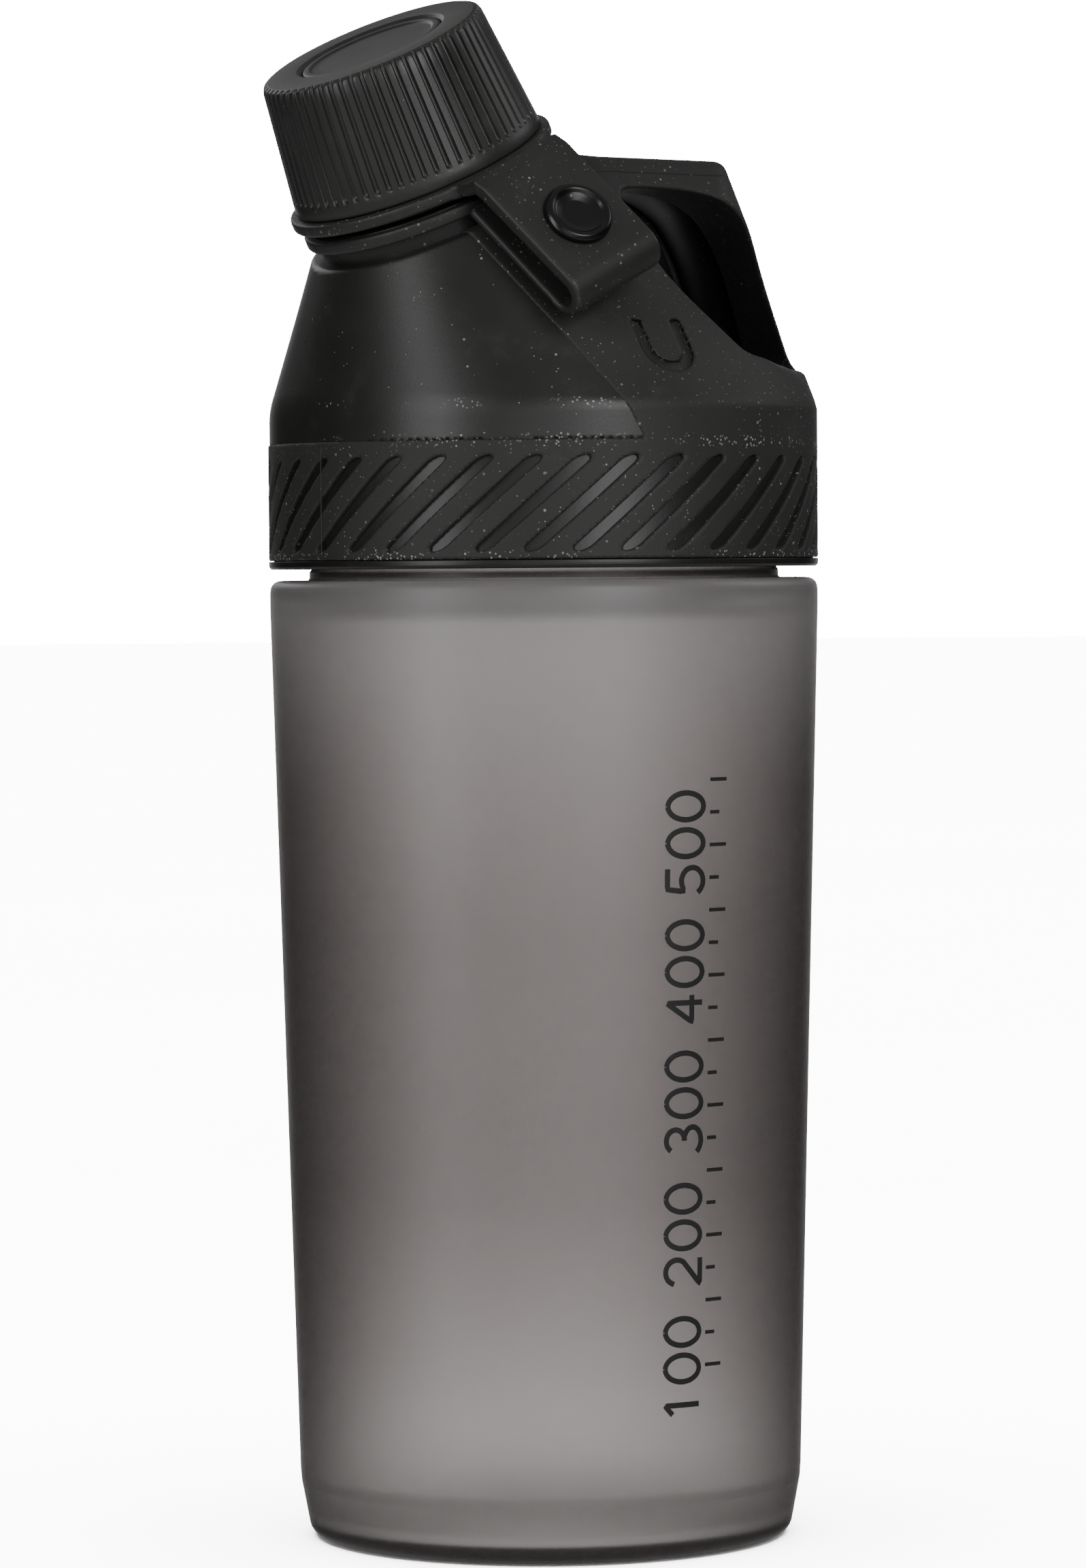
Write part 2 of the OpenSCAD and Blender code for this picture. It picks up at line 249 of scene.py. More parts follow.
def revolve(profile, n=128, offset=None, angles=None):
    """closed surface of a closed outline (r, z) turned about Z; offset(r, z, angle) pushes r outward"""
    profile = np.asarray(profile, float)
    after = np.roll(profile, -1, 0)
    if (after[:, 0] * profile[:, 1] - profile[:, 0] * after[:, 1]).sum() < 0:
        profile = profile[::-1]
    a = np.linspace(0, 2 * math.pi, n, endpoint=False) if angles is None else angles
    n, m = len(a), len(profile)
    r = np.repeat(profile[None, :, 0], n, 0)
    z = np.repeat(profile[None, :, 1], n, 0)
    if offset is not None:
        r = r + offset(r, z, a[:, None] + 0 * r)
    p = np.stack([r * np.cos(a)[:, None], r * np.sin(a)[:, None], z], -1).reshape(-1, 3)
    number = np.arange(n * m).reshape(n, m)
    for j in range(m):
        if profile[j, 0] < 1e-6:
            number[:, j] = number[0, j]
    faces = []
    for i in range(n):
        k = (i + 1) % n
        for j in range(m):
            l = (j + 1) % m
            f = []
            for q in (number[i, j], number[i, l], number[k, l], number[k, j]):
                if q not in f:
                    f.append(q)
            if len(f) > 2:
                faces.append(f)
    used = np.unique(np.concatenate([np.array(f) for f in faces]))
    back = np.full(n * m, -1)
    back[used] = np.arange(len(used))
    return p[used], [[back[q] for q in f] for f in faces]


# ---- materials, in metres up the part ----

DUST = (0.30, 0.295, 0.28, 1)
RIM_WIDTH = 0.0008


class Nodes:
    """a short way to lay out a material's nodes"""

    def __init__(self, name):
        self.material = bpy.data.materials.new(name)
        self.material.use_nodes = True
        self.tree = self.material.node_tree
        self.shader = self.tree.nodes["Principled BSDF"]
        self.place = self.add("ShaderNodeTexCoord").outputs["Object"]

    def add(self, kind, **settings):
        node = self.tree.nodes.new(kind)
        for key, value in settings.items():
            setattr(node, key, value)
        return node

    def link(self, a, b):
        self.tree.links.new(a, b)

    def noise(self, scale, detail=3.0, rough=0.6):
        n = self.add("ShaderNodeTexNoise")
        self.link(self.place, n.inputs["Vector"])
        n.inputs["Scale"].default_value = scale
        n.inputs["Detail"].default_value = detail
        n.inputs["Roughness"].default_value = rough
        return n.outputs["Fac"]

    def ramp(self, source, stops):
        n = self.add("ShaderNodeValToRGB")
        self.link(source, n.inputs["Fac"])
        e = n.color_ramp.elements
        while len(e) < len(stops):
            e.new(0.5)
        for item, (at, value) in zip(e, stops):
            item.position = at
            item.color = tuple(value) + (1,) if hasattr(value, "__len__") else (value, value, value, 1)
        return n.outputs["Color"]

    def mix(self, factor, a, b):
        n = self.add("ShaderNodeMix", data_type="RGBA")
        for source, socket in ((factor, n.inputs[0]), (a, n.inputs[6]), (b, n.inputs[7])):
            if isinstance(source, bpy.types.NodeSocket):
                self.link(source, socket)
            else:
                socket.default_value = source
        return n.outputs[2]

    def math(self, operation, a, b):
        n = self.add("ShaderNodeMath", operation=operation)
        for source, socket in ((a, n.inputs[0]), (b, n.inputs[1])):
            if isinstance(source, bpy.types.NodeSocket):
                self.link(source, socket)
            else:
                socket.default_value = source
        return n.outputs[0]

    def specks(self, scale, size, share):
        """sparse dust: small dots in a few of the cells"""
        n = self.add("ShaderNodeTexVoronoi")
        self.link(self.place, n.inputs["Vector"])
        n.inputs["Scale"].default_value = scale
        dot = self.math("LESS_THAN", n.outputs["Distance"], size)
        chosen = self.math("GREATER_THAN", n.outputs["Color"], 1 - share)
        return self.math("MULTIPLY", dot, chosen)

    def bump(self, height, strength, distance):
        n = self.add("ShaderNodeBump")
        n.inputs["Strength"].default_value = strength
        n.inputs["Distance"].default_value = distance
        self.link(height, n.inputs["Height"])
        self.link(n.outputs["Normal"], self.shader.inputs["Normal"])

    def set(self, **values):
        for key, value in values.items():
            self.shader.inputs[key.replace("_", " ")].default_value = value


def plastic(name, dark, light, rough, spread=0.06, grain=2600, depth=0.12, dust=0.0, specular=0.5,
            sheen=0.0, coat=0.0, scuff=0.5, rims=()):
    """moulded plastic or rubber with blotches, fine grain, dull patches, dust, and dust heaped on rims"""
    n = Nodes(name)
    broad = n.noise(38, 4)
    fine = n.noise(grain, 2)
    colour = n.ramp(broad, [(0.32, dark), (0.7, light)])
    wipe = n.noise(120, 6, 0.75)
    colour = n.mix(n.math("MULTIPLY", n.ramp(wipe, [(0.56, 0.0), (0.8, 1.0)]), scuff),
                   colour, tuple(min(1, c * 1.7 + 0.01) for c in light) + (1,))
    if dust:
        cluster = n.ramp(n.noise(70, 3, 0.7), [(0.42, 0.25), (0.62, 1.0)])
        dots = n.math("MULTIPLY", n.specks(620, 0.13, dust), cluster)
        dots = n.math("ADD", dots, n.math("MULTIPLY", n.specks(1500, 0.16, dust), cluster))
        if rims:
            split = n.add("ShaderNodeSeparateXYZ")
            n.link(n.place, split.inputs[0])
            heap = n.ramp(n.noise(45, 2, 0.6), [(0.46, 0.0), (0.58, 1.0)])
            for rim in rims:
                away = n.math("ABSOLUTE", n.math("SUBTRACT", split.outputs["Z"], rim), 0.0)
                piled = n.math("MULTIPLY", n.math("LESS_THAN", away, RIM_WIDTH), heap)
                dots = n.math("ADD", dots, n.math("MULTIPLY", piled, n.specks(1700, 0.3, 0.6)))
        colour = n.mix(n.math("MINIMUM", n.math("MULTIPLY", dots, 0.75), 1.0), colour, DUST)
    n.link(colour, n.shader.inputs["Base Color"])
    patch = n.math("ADD", n.math("MULTIPLY", broad, spread * 2), rough - spread)
    n.link(n.math("ADD", patch, n.math("MULTIPLY", wipe, spread)), n.shader.inputs["Roughness"])
    n.bump(n.math("ADD", fine, n.math("MULTIPLY", broad, 0.4)), depth, 0.00012)
    n.set(Specular_IOR_Level=specular, Sheen_Weight=sheen, Coat_Weight=coat)
    return n.material


def frosted():
    """frosted smoke-grey wall: a tint with painted light and shade, lighter near the base and under the
    shoulder and darker up the middle, and a little absorption inside it
    """
    n = Nodes("frosted_smoke")
    broad = n.noise(24, 3)
    fine = n.noise(5200, 2)
    split = n.add("ShaderNodeSeparateXYZ")
    n.link(n.place, split.inputs[0])
    up = n.math("MULTIPLY", split.outputs["Z"], 6.5)
    # painted light and shade: the wall's colour is lighter near the base and under the shoulder and darker
    # up the middle, standing in for the light that comes in at the cup's ends
    painted_light_tint = n.ramp(up, [(0.0, (1.0, 0.985, 0.98)), (0.08, (0.93, 0.91, 0.905)),
                       (0.20, (0.74, 0.715, 0.71)), (0.36, (0.59, 0.565, 0.56)),
                       (0.62, (0.585, 0.56, 0.555)), (0.82, (0.69, 0.665, 0.66)),
                       (0.95, (0.80, 0.775, 0.77))])
    cloud = n.ramp(broad, [(0.35, 0.96), (0.65, 1.0)])
    blend = n.add("ShaderNodeMix", data_type="RGBA", blend_type="MULTIPLY")
    blend.inputs[0].default_value = 1.0
    n.link(painted_light_tint, blend.inputs[6])
    n.link(cloud, blend.inputs[7])
    n.link(blend.outputs[2], n.shader.inputs["Base Color"])
    n.link(n.math("ADD", n.math("MULTIPLY", fine, 0.10), 0.37), n.shader.inputs["Roughness"])
    n.bump(fine, 0.10, 0.00005)
    clear = n.ramp(up, [(0.76, 1.0), (0.94, 0.84), (0.973, 0.84), (0.982, 1.0)])
    n.link(clear, n.shader.inputs["Transmission Weight"])
    n.set(IOR=1.46, Specular_IOR_Level=0.4)
    deep = n.add("ShaderNodeVolumeAbsorption")
    deep.inputs["Color"].default_value = (0.50, 0.47, 0.46, 1)
    deep.inputs["Density"].default_value = 200.0
    out = n.tree.nodes["Material Output"]
    n.link(deep.outputs["Volume"], out.inputs["Volume"])
    return n.material


HARD = plastic("hard_black", (0.010, 0.0098, 0.0092), (0.016, 0.0156, 0.0148), 0.36, spread=0.07,
               grain=2200, depth=0.10, dust=0.18, specular=0.42, rims=(0.1766, 0.1714))
SOFT = plastic("soft_black", (0.014, 0.0137, 0.013), (0.022, 0.0215, 0.0205), 0.56, spread=0.05,
               grain=3400, depth=0.22, dust=0.38, specular=0.34, sheen=0.02, rims=(0.1708, 0.1534))
RUBBER = plastic("strap_rubber", (0.012, 0.0117, 0.011), (0.020, 0.0195, 0.0185), 0.46,
                 grain=3000, depth=0.16, dust=0.44, specular=0.40, sheen=0.02)
CAP = plastic("cap_black", (0.013, 0.0127, 0.012), (0.022, 0.0215, 0.0205), 0.37,
              grain=2400, depth=0.10, dust=0.06, specular=0.46)
GLOSS = plastic("button_black", (0.004, 0.004, 0.004), (0.006, 0.006, 0.006), 0.25, spread=0.04,
                grain=900, depth=0.05, dust=0.06, specular=0.32, coat=0.05, scuff=0.1)
SLOT_FLOOR = plastic("slot_black", (0.008, 0.0078, 0.0072), (0.013, 0.0127, 0.012), 0.33,
                     spread=0.05, grain=1800, depth=0.10, dust=0.04, specular=0.34)
INK = plastic("scale_ink", (0.012, 0.012, 0.012), (0.018, 0.018, 0.018), 0.45, spread=0.05,
              grain=4000, depth=0.08, specular=0.4)
SEAL = plastic("seal_white", (0.42, 0.41, 0.39), (0.52, 0.51, 0.48), 0.5, depth=0.1, specular=0.4)
STEEL = plastic("magnet_steel", (0.30, 0.30, 0.31), (0.42, 0.42, 0.43), 0.3, grain=1500, depth=0.1)
STEEL.node_tree.nodes["Principled BSDF"].inputs["Metallic"].default_value = 1.0
FROST = frosted()


# ---- camera, lights, floor ----

# how much of the sky is the sides, and the sky's brightness in each direction
SKY = {"span": (0.90, 1.0), "sides": 0.012, "along": 1.42, "top": 0.32, "below": 0.70, "seen": 16.0}
# name, azimuth, height, size and power of each lamp
LAMPS = [("key", -84, 0.42, (0.5, 1.2), 12.0), ("fill", -8, 0.62, (0.7, 1.0), 14.5),
         ("side", 72, 1.0, (0.9, 0.7), 3.6), ("behind", 176, 0.9, (0.9, 0.7), 3.0)]
LAMP_DISTANCE = 1.5
FLOOR_SUN, FLOOR_SPREAD = 42.0, 70
CAMERA_AZIMUTH, CAMERA_PITCH, CAMERA_ROLL = -38, 1.964, 0.45
CAMERA_DISTANCE, CAMERA_HEIGHT, CAMERA_SHIFT = 1.0, 0.152, 0.000375
LENS, SENSOR = 146.0, 36.0
SIGHT = (0.616, 0.788, 0)


def camera():
    azimuth, pitch, roll = (math.radians(a) for a in (CAMERA_AZIMUTH, CAMERA_PITCH, CAMERA_ROLL))
    back = Vector((math.sin(azimuth), -math.cos(azimuth), 0))
    right = Vector((math.cos(azimuth), math.sin(azimuth), 0))
    look = -back * math.cos(pitch) - Vector((0, 0, math.sin(pitch)))
    up = right.cross(look)
    r = right * math.cos(roll) - up * math.sin(roll)
    u = right * math.sin(roll) + up * math.cos(roll)
    at = back * CAMERA_DISTANCE + Vector((0, 0, CAMERA_HEIGHT)) - right * CAMERA_SHIFT
    data = bpy.data.cameras.new("camera")
    data.lens, data.sensor_width = LENS, SENSOR
    data.clip_start, data.clip_end = 0.05, 60
    cam = bpy.data.objects.new("camera", data)
    bpy.context.scene.collection.objects.link(cam)
    m = Matrix((r, u, -look)).transposed().to_4x4()
    m.translation = at
    cam.matrix_world = m
    bpy.context.scene.camera = cam


def area(name, place, target, size, power):
    data = bpy.data.lights.new(name, "AREA")
    data.shape = "RECTANGLE"
    data.size, data.size_y = size
    data.energy = power
    lamp = bpy.data.objects.new(name, data)
    bpy.context.scene.collection.objects.link(lamp)
    lamp.location = place
    lamp.rotation_mode = "QUATERNION"
    lamp.rotation_quaternion = (Vector(target) - Vector(place)).to_track_quat("-Z", "Y")


def sky():
    """white where the camera looks past the object, and a soft gradient for every other ray"""
    world = bpy.data.worlds.new("studio")
    world.use_nodes = True
    tree = world.node_tree
    back = tree.nodes["Background"]
    back.inputs["Color"].default_value = (1, 1, 1, 1)

    def add(kind, operation=None, **inputs):
        node = tree.nodes.new(kind)
        if operation:
            node.operation = operation
        for key, value in inputs.items():
            socket = node.inputs[int(key[1:])]
            if isinstance(value, bpy.types.NodeSocket):
                tree.links.new(value, socket)
            else:
                socket.default_value = value
        return node

    def total(a, b):
        return add("ShaderNodeMath", "ADD", i0=a, i1=b).outputs[0]

    def smooth(value, lo, hi, out_lo, out_hi):
        node = add("ShaderNodeMapRange", i0=value, i1=lo, i2=hi, i3=out_lo, i4=out_hi)
        node.interpolation_type = "SMOOTHSTEP"
        return node.outputs[0]

    way = tree.nodes.new("ShaderNodeTexCoord").outputs["Generated"]
    along = add("ShaderNodeVectorMath", "DOT_PRODUCT", i0=way, i1=SIGHT).outputs["Value"]
    along = add("ShaderNodeMath", "ABSOLUTE", i0=along).outputs[0]
    up = add("ShaderNodeSeparateXYZ", i0=way).outputs["Z"]
    sides = smooth(along, *SKY["span"], SKY["sides"], SKY["along"])
    top = smooth(up, 0.2, 0.95, 0.0, SKY["top"])
    low = smooth(up, -0.9, -0.1, SKY["below"], 0.0)
    light = total(total(sides, top), low)
    seen = tree.nodes.new("ShaderNodeLightPath").outputs["Is Camera Ray"]
    pick = add("ShaderNodeMix", i0=seen, i2=light, i3=SKY["seen"])
    tree.links.new(pick.outputs[0], back.inputs["Strength"])
    bpy.context.scene.world = world


def lamps():
    for name, azimuth, height, size, power in LAMPS:
        t = math.radians(azimuth)
        place = (LAMP_DISTANCE * math.sin(t), -LAMP_DISTANCE * math.cos(t), height)
        area(name, place, (0, 0, 0.13), size, power)


def stage_floor():
    """pale disc lit by a sun of its own, which nothing else catches"""
    n = Nodes("floor_white")
    n.link(n.ramp(n.noise(3, 2), [(0.3, 0.90), (0.7, 0.93)]), n.shader.inputs["Base Color"])
    n.set(Roughness=0.9, Specular_IOR_Level=0.1)
    m = 96
    a = np.linspace(0, 2 * math.pi, m, endpoint=False)
    pts = [(r * math.cos(t), r * math.sin(t), -0.0002) for r in (0.4, 2, 12) for t in a]
    rings = [(k * m + i, k * m + (i + 1) % m) for k in (0, 1) for i in range(m)]
    faces = [list(range(m))] + [[i + m, j + m, j, i] for i, j in rings]
    mesh = bpy.data.meshes.new("floor")
    mesh.from_pydata(pts, [], faces)
    mesh.materials.append(n.material)
    floor = bpy.data.objects.new("floor", mesh)
    bpy.context.scene.collection.objects.link(floor)
    floor.visible_glossy = floor.visible_diffuse = floor.visible_transmission = False
    only = bpy.data.collections.new("floor_only")
    only.objects.link(floor)
    data = bpy.data.lights.new("floor_light", "SUN")
    data.energy, data.angle = FLOOR_SUN, math.radians(FLOOR_SPREAD)
    sun = bpy.data.objects.new("floor_light", data)
    bpy.context.scene.collection.objects.link(sun)
    sun.light_linking.receiver_collection = only


# ---- the lid's outer envelope ----

# the hole under the carry loop, seen along Y
OPENING = chaikin([
    (12.5, 184.2), (20, 183.4), (28, 182.55), (34.6, 181.9), (36, 182.4), (36.6, 184), (35.5, 187.3),
    (34, 191.8), (32.5, 196), (31, 199.6), (29.1, 202.9), (26.4, 206.3), (22.6, 208.7), (18.1, 210.1),
    (10, 210.6), (3.6, 210.5), (1.8, 209.6), (1, 207.8), (1.3, 200.5), (2.2, 196.8), (4.8, 192.4),
    (9.6, 186.2)])
opening_gap = Chart(OPENING, (-46, 150), (46, 220))


def spout_place(p):
    """distance from the spout's axis, and height along it"""
    q = (p - SPOUT) @ SPOUT_AXES.T
    return np.hypot(q[:, 0], q[:, 1]), q[:, 2]


def cone_gap(p, r0, z0, r1, s1):
    """distance-like value of the leaning cone from a level circle up to a circle on the spout's axis"""
    top = SPOUT + s1 * SPOUT_AXES[2]
    rise, shift = top[2] - z0, top[0]
    bx, bz = r1 * CS, r1 * SN
    x, y, z = p[:, 0], p[:, 1], p[:, 2] - z0
    k = r0 - bx
    a = rise * k + bz * shift
    b = -(k * z + r0 * rise + bz * x)
    t = 2 * r0 * z / (-b + np.sqrt(np.maximum(b * b - 4 * a * r0 * z, 0)))
    t = np.clip(t, -0.3, 1.3)
    rx, ry = r0 - k * t, r0 + (r1 - r0) * t
    return (np.hypot((x - t * shift) / rx, y / ry) - 1) * ry * 0.86


def loop_gap(p):
    """the flanks and the carry loop: from the collar's circle up to the loop's long top"""
    f = np.clip((p[:, 2] - COLLAR_TOP) / LOOP_RISE, 0, 1.1)
    corner = (1 - f) * COLLAR_R + f * 3.0
    dx = np.maximum(np.abs(p[:, 0] - 12.7 * f) - 11.7 * f, 0)
    dy = np.maximum(np.abs(p[:, 1]) - 10.6 * f, 0)
    side = (np.hypot(dx, dy) - corner) * 0.86
    return smax(side, p[:, 2] - COLLAR_TOP - LOOP_RISE, 1.6)


def envelope(p):
    """the lid's outer shape: the cone, the flanks and the loop, over the collar"""
    r = np.hypot(p[:, 0], p[:, 1])
    _, s = spout_place(p)
    cone = smax(cone_gap(p, COLLAR_R, COLLAR_TOP, 20.8, -7.6), s + 7.6, 0.5)
    k = 0.02 + 5.0 * smoothstep(p[:, 2], 178, 190)
    top = smin(cone, loop_gap(p), k)
    return smax(top, r - COLLAR_R, 0.5)


def seam_gap(p):
    """positive in front of the slanted seam, where the hard dome shows"""
    return -(p[:, 0] + 11) * 0.891 - (p[:, 2] - 168) * 0.454


def legs_gap(x, z):
    """positive on the loop's hand side, where the channel runs"""
    return (x - 13) * 0.832 + (z - 206) * 0.555


ICON_U, ICON_Z, ICON_R, ICON_LINE, ICON_ARM, ICON_SHEAR = 18.87, 184.9, 3.05, 0.78, 4.3, 0.42


def icon_gap(p):
    """horseshoe let into the flank, drawn across the flank's own slope"""
    u = p[:, 0] * SIGHT[1] - p[:, 1] * SIGHT[0] - ICON_U
    v = p[:, 2] - ICON_Z
    x = u + ICON_SHEAR * v
    arm = np.where(v > 0, np.abs(np.abs(x) - ICON_R), np.abs(np.hypot(x, v * 1.07) - ICON_R))
    return np.maximum(arm - ICON_LINE, v - ICON_ARM)


def slot_gap(p):
    """slanted slots through the soft band"""
    pitch = 2 * math.pi / SLOTS
    turn = np.arctan2(p[:, 1], p[:, 0]) - (p[:, 2] - SLOT_MID) * SLOT_LEAN / COLLAR_R
    across = (turn - pitch * np.round(turn / pitch)) * COLLAR_R
    side = (np.abs(across) - SLOT_HALF) * SLOT_COS
    return smax(side, np.abs(p[:, 2] - SLOT_MID) - SLOT_REACH, 1.3)


SKIN_R = 41.6
HARD_R = SKIN_R - 0.05


def grip_field(p):
    """soft skin: band with its slots, saddle with its icon, loop with its channel"""
    r, s = spout_place(p)
    flat = np.hypot(p[:, 0], p[:, 1])
    hole = opening_gap(p[:, 0], p[:, 2])
    low = 1 - smoothstep(p[:, 2], 183.5, 187)
    low = low * (1 - smoothstep(p[:, 0], 26, 32)) * smoothstep(p[:, 0], 14, 22)
    d = smax(envelope(p), -hole, 0.9 + 2.2 * low)
    cone = cone_gap(p, SKIN_R, COLLAR_TOP, 19.0, -8.4)
    inner = np.where(p[:, 2] < COLLAR_TOP, flat - SKIN_R, cone)
    inner = np.maximum(inner, 2.0 - hole)
    d = np.maximum(d, -inner)
    region = smin(seam_gap(p), p[:, 2] - BAND[1], 0.5)
    d = smax(d, region, 0.35)
    d = smax(d, BAND[0] - p[:, 2], 0.35)
    channel = np.maximum(np.abs(p[:, 1]) - 6.0, hole - 1.9)
    channel = np.maximum(channel, -legs_gap(p[:, 0], p[:, 2]))
    d = smax(d, -channel, 0.4)
    d = np.maximum(d, 18.75 - r)
    d = smax(d, -np.maximum(r - 22.5, -7.0 - s), 0.4)
    wall = (p[:, 2] > 150) & (p[:, 2] < 173)
    cut = np.maximum(slot_gap(p), 38 - flat)
    d = np.where(wall, smax(d, -cut, 0.35), d)
    icon = np.maximum(np.maximum(icon_gap(p), p[:, 1] + 15), -0.75 - envelope(p))
    return smax(d, -icon, 0.2)


def dome_field(p):
    """hard dome: bare in front of the seam, under the skin behind it, hollow inside"""
    _, s = spout_place(p)
    flat = np.hypot(p[:, 0], p[:, 1])
    hole = opening_gap(p[:, 0], p[:, 2])
    front = np.maximum(envelope(p) + 0.22, -seam_gap(p) - 1.0)
    cone = cone_gap(p, HARD_R, COLLAR_TOP, 18.95, -8.4)
    under = np.where(p[:, 2] < COLLAR_TOP, flat - HARD_R, cone)
    under = np.maximum(np.maximum(under, 2.05 - hole), s + 8.3)
    d = np.minimum(front, under)
    cavity = np.maximum(cone_gap(p, 39.0, 174.2, 15.6, -10.5), 4.4 - hole)
    cavity = np.maximum(cavity, s)
    cavity = np.where(p[:, 2] < 174.2, flat - 33.0, cavity)
    d = smax(d, -cavity, 0.4)
    return smax(d, BAND[1] - 0.3 - p[:, 2], 0.3)


def tether_flap_field(q):
    """ring under the cap, and the plate down to the fold, in the spout's frame"""
    a, x, n = -q[:, 1], q[:, 0], q[:, 2]
    r = np.hypot(q[:, 0], q[:, 1])
    ring = smax(np.abs(n + 1.18) - 1.03, r - 21.4, 0.7)
    plate = smax(PLATE(a, n), np.abs(x) - 9.0, 0.8)
    shoulder = smax(smax(SHOULDER(a, n), np.abs(x) - 9.0, 0.8), -(r - 19.6), 0.3)
    d = smin(smin(ring, shoulder, 0.8), plate, 0.25)
    d = smax(d, 19.25 - r, 0.5)
    above = np.maximum(r - 20.95, -0.16 - n)
    return smax(d, -above, 0.25)


def strap_field(q):
    """lower layer of the strap, in the spout's frame"""
    a, x, n = -q[:, 1], q[:, 0], q[:, 2]
    r = np.hypot(q[:, 0], q[:, 1])
    d = smax(STRAP(a, n), np.abs(x) - 8.94, 0.8)
    return np.maximum(d, 20.55 - r)


# the fold's hinge, the plate's outward normal and its way down, then the drawn fold's centre
FOLD = np.array([36.1, -17.4])
NORMAL = np.array([0.788, 0.616])
DOWN = np.array([0.616, -0.788])
BEND = FOLD - 1.3 * NORMAL + 0.5 * DOWN
FOLD_R = 3.8
BUTTON = np.array([0.4, -33.5, -10.03])


def disc(centre, radius, n=40):
    t = np.linspace(0, 2 * math.pi, n, endpoint=False)
    return np.column_stack([centre[0] + radius * np.cos(t), centre[1] + radius * np.sin(t)])


class Either:
    """the union of several outlines"""

    def __init__(self, k, *parts):
        self.k, self.parts = k, parts

    def __call__(self, x, y):
        d = self.parts[0](x, y)
        for part in self.parts[1:]:
            d = smin(d, part(x, y), self.k)
        return d


def bore(radius):
    """the fold's hollow, open toward the slot between the two layers"""
    centre = BEND - 0.45 * NORMAL
    t = np.linspace(-math.pi / 2, math.pi / 2, 20)
    tip = centre + radius * (np.cos(t)[:, None] * DOWN + np.sin(t)[:, None] * NORMAL)
    far = [centre + radius * NORMAL - 8 * DOWN, centre - radius * NORMAL - 8 * DOWN]
    return np.vstack([tip, far])


class Hollow:
    """one outline with another taken out of it"""

    def __init__(self, outer, hole):
        self.outer, self.hole = outer, hole

    def __call__(self, x, y):
        return smax(self.outer(x, y), -self.hole(x, y), 0.2)


CHART = ((14, -26), (44, 6), 0.15)


def curl(radius, hollow):
    return Hollow(Chart(disc(BEND, radius), *CHART), Chart(bore(hollow), *CHART))


# outlines of the strap's layers: out from the spout's axis, and up along it
PLATE = Either(
    0.05, Chart(fillet([(24.2, 0.42), (24.6, 0.42), (26.6, -1.05), BEND + FOLD_R * NORMAL,
                        BEND + 1.6 * NORMAL, (24.6, -2.7), (23.9, -1.6)],
                       [0.3, 0.5, 0.8, 0, 0, 0.4, 0.3]), *CHART),
    curl(FOLD_R, 2.05))
SHOULDER = Chart(fillet([(17, -0.3), (21.6, -0.25), (24.1, 0.3), (25.2, -0.6), (24.9, -2.6),
                         (23.6, -2.0), (22.0, -2.2), (17, -2.2)], 0.3), *CHART)
STRAP = Either(
    0.3, Chart(fillet([(20.4, -4.4), (21.6, -4.4), BEND - 2.5 * NORMAL, BEND - 3.0 * NORMAL,
                       BEND - 3.72 * NORMAL, (20.9, -5.9), (20.4, -5.6)],
                      [0.3, 0.5, 0, 0, 0.5, 0.5, 0.3]), *CHART),
    curl(FOLD_R - 0.08, 2.13))


# ---- the pieces ----

def helix(r, z, a, on, height, start, lead, turns, root, crest):
    """how far a helical ridge lifts a wall at each point where on is true"""
    out = np.zeros_like(r)
    for k in range(-1, int(turns) + 2):
        along = a / (2 * math.pi) + k
        centre = start + lead * along
        ends = smoothstep(along, 0, 0.06) * (1 - smoothstep(along, turns - 0.06, turns))
        body = np.clip((root / 2 - np.abs(z - centre)) / ((root - crest) / 2), 0, 1)
        out = np.maximum(out, body * ends)
    return out * height * on


def divided(line, r, step=0.32):
    """outline with its long upright at radius r divided finely, so that a thread can lift it"""
    out = []
    for i, p in enumerate(line):
        q = line[(i + 1) % len(line)]
        run = abs(q[1] - p[1])
        upright = abs(p[0] - r) < 0.02 and abs(q[0] - r) < 0.02 and run > 0.5
        n = int(run / step) + 1 if upright else 1
        out += [p + (q - p) * t / n for t in range(n)]
    return np.array(out)


def cup():
    """one closed wall: outside with its shoulder and neck, inside, and a pushed-up base"""
    corners = [
        (0, 5.0), (20.0, 5.0), (25.0, 3.8), (31.2, 0.9), (33.5, 0), (36.6, 0), (37.9, 1.1), (39.3, 8.6),
        (CUP_FOOT_R, CUP_FOOT_Z), (CUP_TOP_R, CUP_TOP_Z), (CUP_TOP_R, 150.0), (36.8, 150.0),
        (36.8, 151.3), (NECK_R, 151.9)]
    radii = [0, 6, 6, 2.5, 1.2, 1.2, 2.5, 5, 5, 8, 3.4, 0.5, 0.3, 0.2]
    inner = [(34.2, 151.0), (35.2, 149.3), (38.8, 147.9), (41.1, 144.5), (37.5, 10.0), (36.0, 4.2),
             (34.2, 2.6), (32.6, 2.8), (26.0, 5.9), (20.6, 7.2), (0, 7.2)]
    inner_r = [0.5, 1.5, 2, 4, 5, 3, 1.5, 1.5, 5, 5, 0]
    neck = [(NECK_R, 170.4), (35.8, 171.0), (34.8, 171.0), (34.2, 170.4)]
    line = fillet(corners + neck + inner, radii + [0.2] * 4 + inner_r, 6)
    line = divided(dense(line, 4.0), NECK_R)

    def thread(r, z, a):
        on = (np.abs(r - NECK_R) < 0.02) & (z > 152)
        return helix(r, z, a, on, 1.5, 154.6, LID_LEAD, LID_TURNS, 2.8, 1.3)

    p, f = revolve(line, 180, thread)
    make("cup_shell", p, f, "cup", FROST, ["cup_body"], sharp=50)


PRINT_R = 41.0


def cup_surface(u, z, lift):
    """a place on the cup's wall: u mm to the right of the -Y line, z up, lift outward"""
    r = CUP_FOOT_R + (z - CUP_FOOT_Z) * (CUP_TOP_R - CUP_FOOT_R) / (CUP_TOP_Z - CUP_FOOT_Z) + lift
    t = -math.pi / 2 + u / PRINT_R
    return np.column_stack([r * np.cos(t), r * np.sin(t), z])


